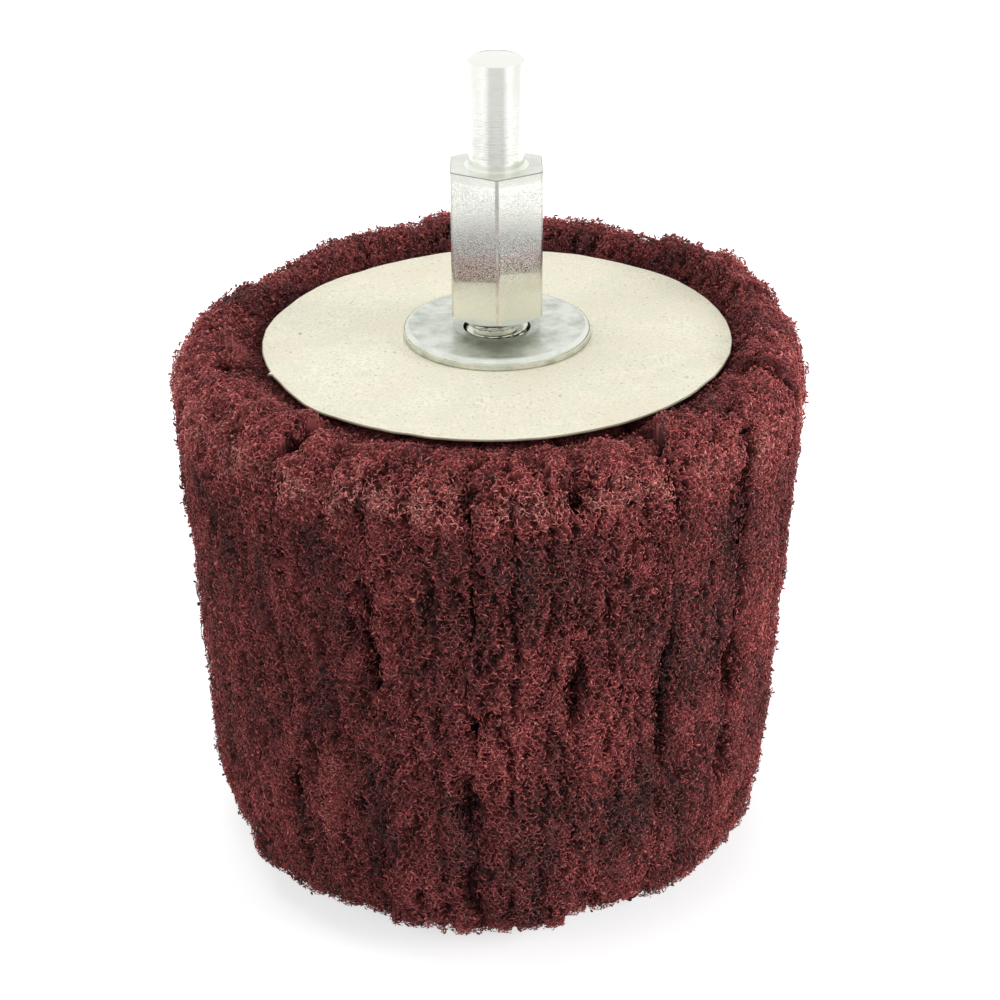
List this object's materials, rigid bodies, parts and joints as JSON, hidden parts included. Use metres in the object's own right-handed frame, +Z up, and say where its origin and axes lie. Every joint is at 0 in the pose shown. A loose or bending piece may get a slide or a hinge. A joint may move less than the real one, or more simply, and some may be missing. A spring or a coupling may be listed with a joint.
{
  "type": "sanding mop",
  "caption": "Round non-woven abrasive mop of separate fibre flaps on a resin core, with card discs, a loose washer and a hexagonal arbor with a plain shank.",
  "frame": {"origin": "on the axis, in the plane of the flaps' feet that the mop stands on", "axes": "+Z up the axis towards the shank's end; -Y towards the viewer of the picture"},
  "size_m": [0.0802, 0.0802, 0.1071],
  "materials": {
    "fibre_web": "matte fibrous web",
    "card_board": "matte",
    "washer_zinc": "zinc plated",
    "zinc_plated_steel": "bright zinc plated",
    "bolt_steel": "bright",
    "resin": "cast resin"
  },
  "bodies": {
    "mop": {"arbor": "zinc_plated_steel", "bolt": "bolt_steel", "top_card": "card_board", "bottom_card": "card_board", "resin_core": "resin", "flap_01": "fibre_web", "flap_02": "fibre_web", "flap_03": "fibre_web", "flap_04": "fibre_web", "flap_05": "fibre_web", "flap_06": "fibre_web", "flap_07": "fibre_web", "flap_08": "fibre_web", "flap_09": "fibre_web", "flap_10": "fibre_web", "flap_11": "fibre_web", "flap_12": "fibre_web", "flap_13": "fibre_web", "flap_14": "fibre_web", "flap_15": "fibre_web", "flap_16": "fibre_web", "flap_17": "fibre_web", "flap_18": "fibre_web", "flap_19": "fibre_web", "flap_20": "fibre_web"},
    "loose_washer": {"top_washer": "washer_zinc"}
  },
  "joints": [
    {"name": "washer_lift", "type": "slide", "parent": "mop", "child": "loose_washer", "axis": [0, 0, 1], "range_m": [0, 0.0017]}
  ]
}
